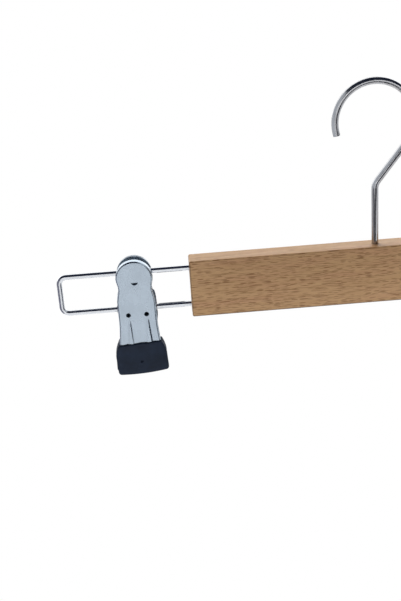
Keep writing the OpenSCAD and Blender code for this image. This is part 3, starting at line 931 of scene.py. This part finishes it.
def spring_half(w, s):
    """Centre line of half a spring, from the coil's middle to the foot behind the front leaf's lance."""
    clear, bend, foot_end, steps = 0.1, 1.5, 1.6, 24
    half_long = w.pitch * w.turns / 2
    total = round(steps * w.turns / 2)
    coil = []
    for i in range(total + 1):
        a = math.tau * (w.turns / 2 - i / steps)
        coil.append(Vector((-half_long * i / total, -w.coil * math.cos(a), -w.coil * math.sin(a))))
    seat = -s.face + s.sheet + clear + w.spring_wire / 2
    foot_z = s.moon_height + clear + w.spring_wire / 2
    corner = [(bend * (1 - math.cos(a)), foot_z - bend * (1 - math.sin(a))) for a in quarter(6)]
    flat = [(-half_long, foot_z - bend - 0.02)] + [(x - half_long, z) for x, z in corner]
    flat += [(mix(-half_long + bend, foot_end, i / 4), foot_z) for i in range(1, 5)]
    tilt = Matrix.Rotation(s.tilt, 3, "X")
    arm = [tilt @ Vector((x, seat, z)) for x, z in flat]
    rise = [coil[-1].lerp(arm[0], i / 10) for i in range(1, 10)]
    return coil + rise + arm


class HANGER_OT_springs(bpy.types.Operator):
    """Makes the two torsion springs, each in two halves, one for each leaf"""

    bl_idname = "hanger.springs"
    bl_label = "Springs"

    def execute(self, context):
        w, s = context.scene.hanger_wires, context.scene.hanger_leaves
        steel = material_once("spring_steel", spring_steel)
        half = spring_half(w, s)
        for side in SIDES:
            hinge = JOINT_PLACE[side + "_front_hinge"]
            for leaf, turn in (("front", 1), ("back", -1)):
                path = [(turn * p.x, turn * p.y, p.z) for p in half]
                name = f"{side}_{leaf}_spring_half"
                piece = link(name, wire(name, path, w.spring_wire, steel, sides=16), steel)
                piece.data.transform(Matrix.Translation(hinge))
                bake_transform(piece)
                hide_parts(side + "_spring")
        return {"FINISHED"}


class HANGER_OT_tubes(bpy.types.Operator):
    """Makes the two pivot tubes with their rolled lips"""

    bl_idname = "hanger.tubes"
    bl_label = "Pivot tubes"

    def execute(self, context):
        zinc = material_once("zinc_plated_wire", zinc_wire)
        bore, barrel, lip_long, lip_drop, lip_curl = 1.58, 1.93, 0.36, 0.15, 0.25
        flare_long, flare_rise = 0.2, 0.3
        for side in SIDES:
            low, high = box_mm(side + "_pivot_tube")
            lip, end = (high.z - low.z) / 2, (high.x - low.x) / 2
            middle = (low + high) / 2
            neck = end - lip_long
            right = [(neck, barrel), (neck, lip - lip_drop)]
            right += [(neck + lip_long * math.sin(a), lip - lip_curl * (1 - math.cos(a))) for a in quarter(5)]
            right += [(end, bore + flare_rise), (end - flare_long, bore)]
            left = [(-x, r) for x, r in reversed(right)]
            mesh = finish_mesh(turned(right + left, middle, Vector((1, 0, 0))))
            piece = link(side + "_rolled_tube", mesh, zinc)
            place(piece, side + "_clip", "zinc_tube", side + "_pivot_tube")
        return {"FINISHED"}


def studio_light(name, place_at, aim, size, power):
    """A soft box that shines on a point and isn't mirrored. Sizes in metres, power in watts."""
    lamp = bpy.data.lights.new(name, "AREA")
    lamp.shape = "RECTANGLE"
    lamp.size, lamp.size_y = size
    lamp.energy = power
    holder = bpy.data.objects.new(name, lamp)
    holder.location = place_at
    holder.rotation_euler = (Vector(aim) - Vector(place_at)).to_track_quat("-Z", "Y").to_euler()
    holder.visible_glossy = False
    bpy.context.scene.collection.objects.link(holder)


def studio_sky():
    """A pale wall behind, and the dark of the room above and beside it, which metal mirrors as lines."""
    world = bpy.data.worlds.new("studio")
    world.use_nodes = True
    tree = world.node_tree
    tree.nodes.clear()
    direction = add_node(tree, "ShaderNodeTexCoord").outputs["Generated"]
    way = add_node(tree, "ShaderNodeSeparateXYZ", {0: direction}).outputs

    def both(first, second):
        return combine(tree, "MULTIPLY", first, second)

    turn = combine(tree, "ARCTAN2", way[2], both(way[1], -1.0))
    aside = combine(tree, "ABSOLUTE", way[0], 0.0)
    begins, ends, soft = (math.radians(a) for a in (8, 127, 5))
    overhead = both(
        between(tree, turn, begins - soft, begins + soft), between(tree, turn, ends + soft, ends - soft)
    )
    beside = both(between(tree, aside, 0.45, 0.65), between(tree, way[1], 0.45, 0.25))
    low = both(between(tree, way[2], 0.32, 0.24), between(tree, aside, 0.34, 0.2))
    horizon = both(low, between(tree, way[1], 0.2, 0.4))
    dark = combine(tree, "MAXIMUM", overhead, beside)
    dark = combine(tree, "MAXIMUM", dark, both(horizon, 0.85))
    tone = tint(tree, dark, (2.0, 2.0, 2.0), (0.02, 0.025, 0.045))
    glow = add_node(tree, "ShaderNodeBackground", {"Color": tone, "Strength": 1.0})
    add_node(tree, "ShaderNodeOutputWorld", {"Surface": glow.outputs[0]})
    bpy.context.scene.world = world


def glowing(name, tone):
    """A material that only gives off light."""
    material, tree = blank_material(name)
    glow = add_node(tree, "ShaderNodeEmission", {"Color": opaque(tone), "Strength": 1.0})
    add_node(tree, "ShaderNodeOutputMaterial", {"Surface": glow.outputs[0]})
    return material


def stand(name, mesh, material, *unseen_by):
    """Puts a piece of the studio in the scene, unseen by the kinds of ray named."""
    piece = link(name, mesh, material)
    for ray in unseen_by:
        setattr(piece, "visible_" + ray, False)


def studio_floor(f):
    """A pale floor that lights the hanger from below and doesn't show in the picture."""
    height, reach = -600.0, 30000.0
    corners = [(x * reach, y * reach, height) for x, y in ((-1, -1), (1, -1), (1, 1), (-1, 1))]
    material, tree = blank_material("studio_floor")
    inputs = {"Base Color": opaque(f.floor), "Roughness": 0.9, "Specular IOR Level": 0.0}
    surface(tree, {**inputs, "Emission Color": opaque((1.0, 1.0, 1.0)), "Emission Strength": 0.55})
    stand("studio_floor", mesh_from("studio_floor", corners, [(0, 1, 2, 3)]), material, "camera")


def studio_backdrop():
    """A white room that only the camera sees."""
    far = 9000.0
    room, white = block((-far, -far, -far), (far, far, far)), glowing("studio_wall", (1.0, 1.0, 1.0))
    stand("studio_backdrop", room, white, "diffuse", "glossy", "transmission", "shadow")


def studio_cards():
    """Cards that show only in reflections, as photographers set beside metal. Places in millimetres."""
    for name, x, y, z, tone in (
        ("left_flag", (-320, -320), (-200, 60), (-329, -192), (0.4, 0.4, 0.45)),
        ("loop_flag", (-196, -196), (-56, 4), (-150, -80), (0.2, 0.2, 0.26)),
        ("stem_flag", (-100, 30), (-80, -80), (-140, -80), (0.05, 0.05, 0.055)),
        ("lean_flag", (0, 130), (-80, -80), (-92, -30), (0.02, 0.02, 0.03)),
        ("lean_card", (-70, -70), (-125, 40), (-65, 60), (0.75, 0.78, 0.82)),
        ("stem_card", (-40, -40), (-60, 0), (-105, -60), (0.3, 0.3, 0.33)),
        ("clip_flag", (-100, -100), (-60, -12), (-168, -122), (0.03, 0.04, 0.06)),
        ("ear_flag", (-121, -106), (14, 14), (-136, -94), (0.03, 0.04, 0.06)),
    ):
        corners = [(x[0], y[0], z[0]), (x[1], y[1], z[0]), (x[1], y[1], z[1]), (x[0], y[0], z[1])]
        card = mesh_from(name, corners, [(0, 1, 2, 3)])
        stand(name, card, glowing(name, tone), "camera", "diffuse", "shadow")


def photo_camera(scene):
    """The camera at the photograph's viewing angle, with its lens from a focal length in pixels."""
    place_at = Vector((-0.1107, -0.4925, 0.0754))
    azimuth, elevation, roll = (math.radians(a) for a in (-1.53, 20.75, -4.06))
    focal_px, picture_high_px = 950.0, 601.0
    level = math.cos(elevation)
    ahead = Vector((-math.sin(azimuth) * level, math.cos(azimuth) * level, -math.sin(elevation)))
    right = Vector((math.cos(azimuth), math.sin(azimuth), 0))
    up = right.cross(ahead)
    turned_right = math.cos(roll) * right + math.sin(roll) * up
    turned_up = math.cos(roll) * up - math.sin(roll) * right
    lens = bpy.data.cameras.new("camera")
    lens.sensor_fit = "VERTICAL"
    lens.sensor_height = 24.0
    lens.lens = focal_px * lens.sensor_height / picture_high_px
    lens.clip_end = 200.0
    camera = bpy.data.objects.new("camera", lens)
    turn = Matrix((turned_right, turned_up, -ahead)).transposed().to_4x4()
    camera.matrix_world = Matrix.Translation(place_at) @ turn
    scene.collection.objects.link(camera)
    scene.camera = camera


class HANGER_OT_stage(bpy.types.Operator):
    """Sets up the studio, its soft light and the camera at the photograph's viewing angle"""

    bl_idname = "hanger.stage"
    bl_label = "Stage"

    def execute(self, context):
        scene = context.scene
        scene.view_settings.view_transform = "Standard"
        studio_floor(scene.hanger_finishes)
        studio_backdrop()
        studio_sky()
        aim = (-0.05, 0.0, -0.1)
        studio_light("back_soft_box", (-0.15, 0.35, 0.5), aim, size=(0.6, 0.3), power=2.9)
        studio_light("front_fill", (-0.2, -0.9, 0.6), aim, size=(0.8, 0.8), power=1.6)
        studio_cards()
        photo_camera(scene)
        return {"FINISHED"}


class HANGER_PT_panel(bpy.types.Panel):
    """Buttons that make the hanger's pieces and its stage"""

    bl_idname = "HANGER_PT_panel"
    bl_label = "Trouser Hanger"
    bl_space_type = "VIEW_3D"
    bl_region_type = "UI"
    bl_category = "Hanger"

    def draw(self, context):
        for operator in OPERATORS:
            self.layout.operator(operator.bl_idname)


GROUPS = {
    "hanger_wires": HangerWireSizes,
    "hanger_bar": HangerBarSizes,
    "hanger_leaves": HangerLeafSizes,
    "hanger_boots": HangerBootSizes,
    "hanger_finishes": HangerFinishes,
}
OPERATORS = (
    HANGER_OT_bar,
    HANGER_OT_hook,
    HANGER_OT_loops,
    HANGER_OT_leaves,
    HANGER_OT_boots,
    HANGER_OT_springs,
    HANGER_OT_tubes,
    HANGER_OT_stage,
)


def register():
    for item in (*GROUPS.values(), *OPERATORS, HANGER_PT_panel):
        bpy.utils.register_class(item)
    for name, group in GROUPS.items():
        setattr(bpy.types.Scene, name, bpy.props.PointerProperty(type=group))


def unregister():
    for name in GROUPS:
        delattr(bpy.types.Scene, name)
    for item in (HANGER_PT_panel, *reversed(OPERATORS), *GROUPS.values()):
        bpy.utils.unregister_class(item)


def main():
    register()
    for operator in OPERATORS:
        group, name = operator.bl_idname.split(".")
        getattr(getattr(bpy.ops, group), name)()


if __name__ == "__main__":
    main()
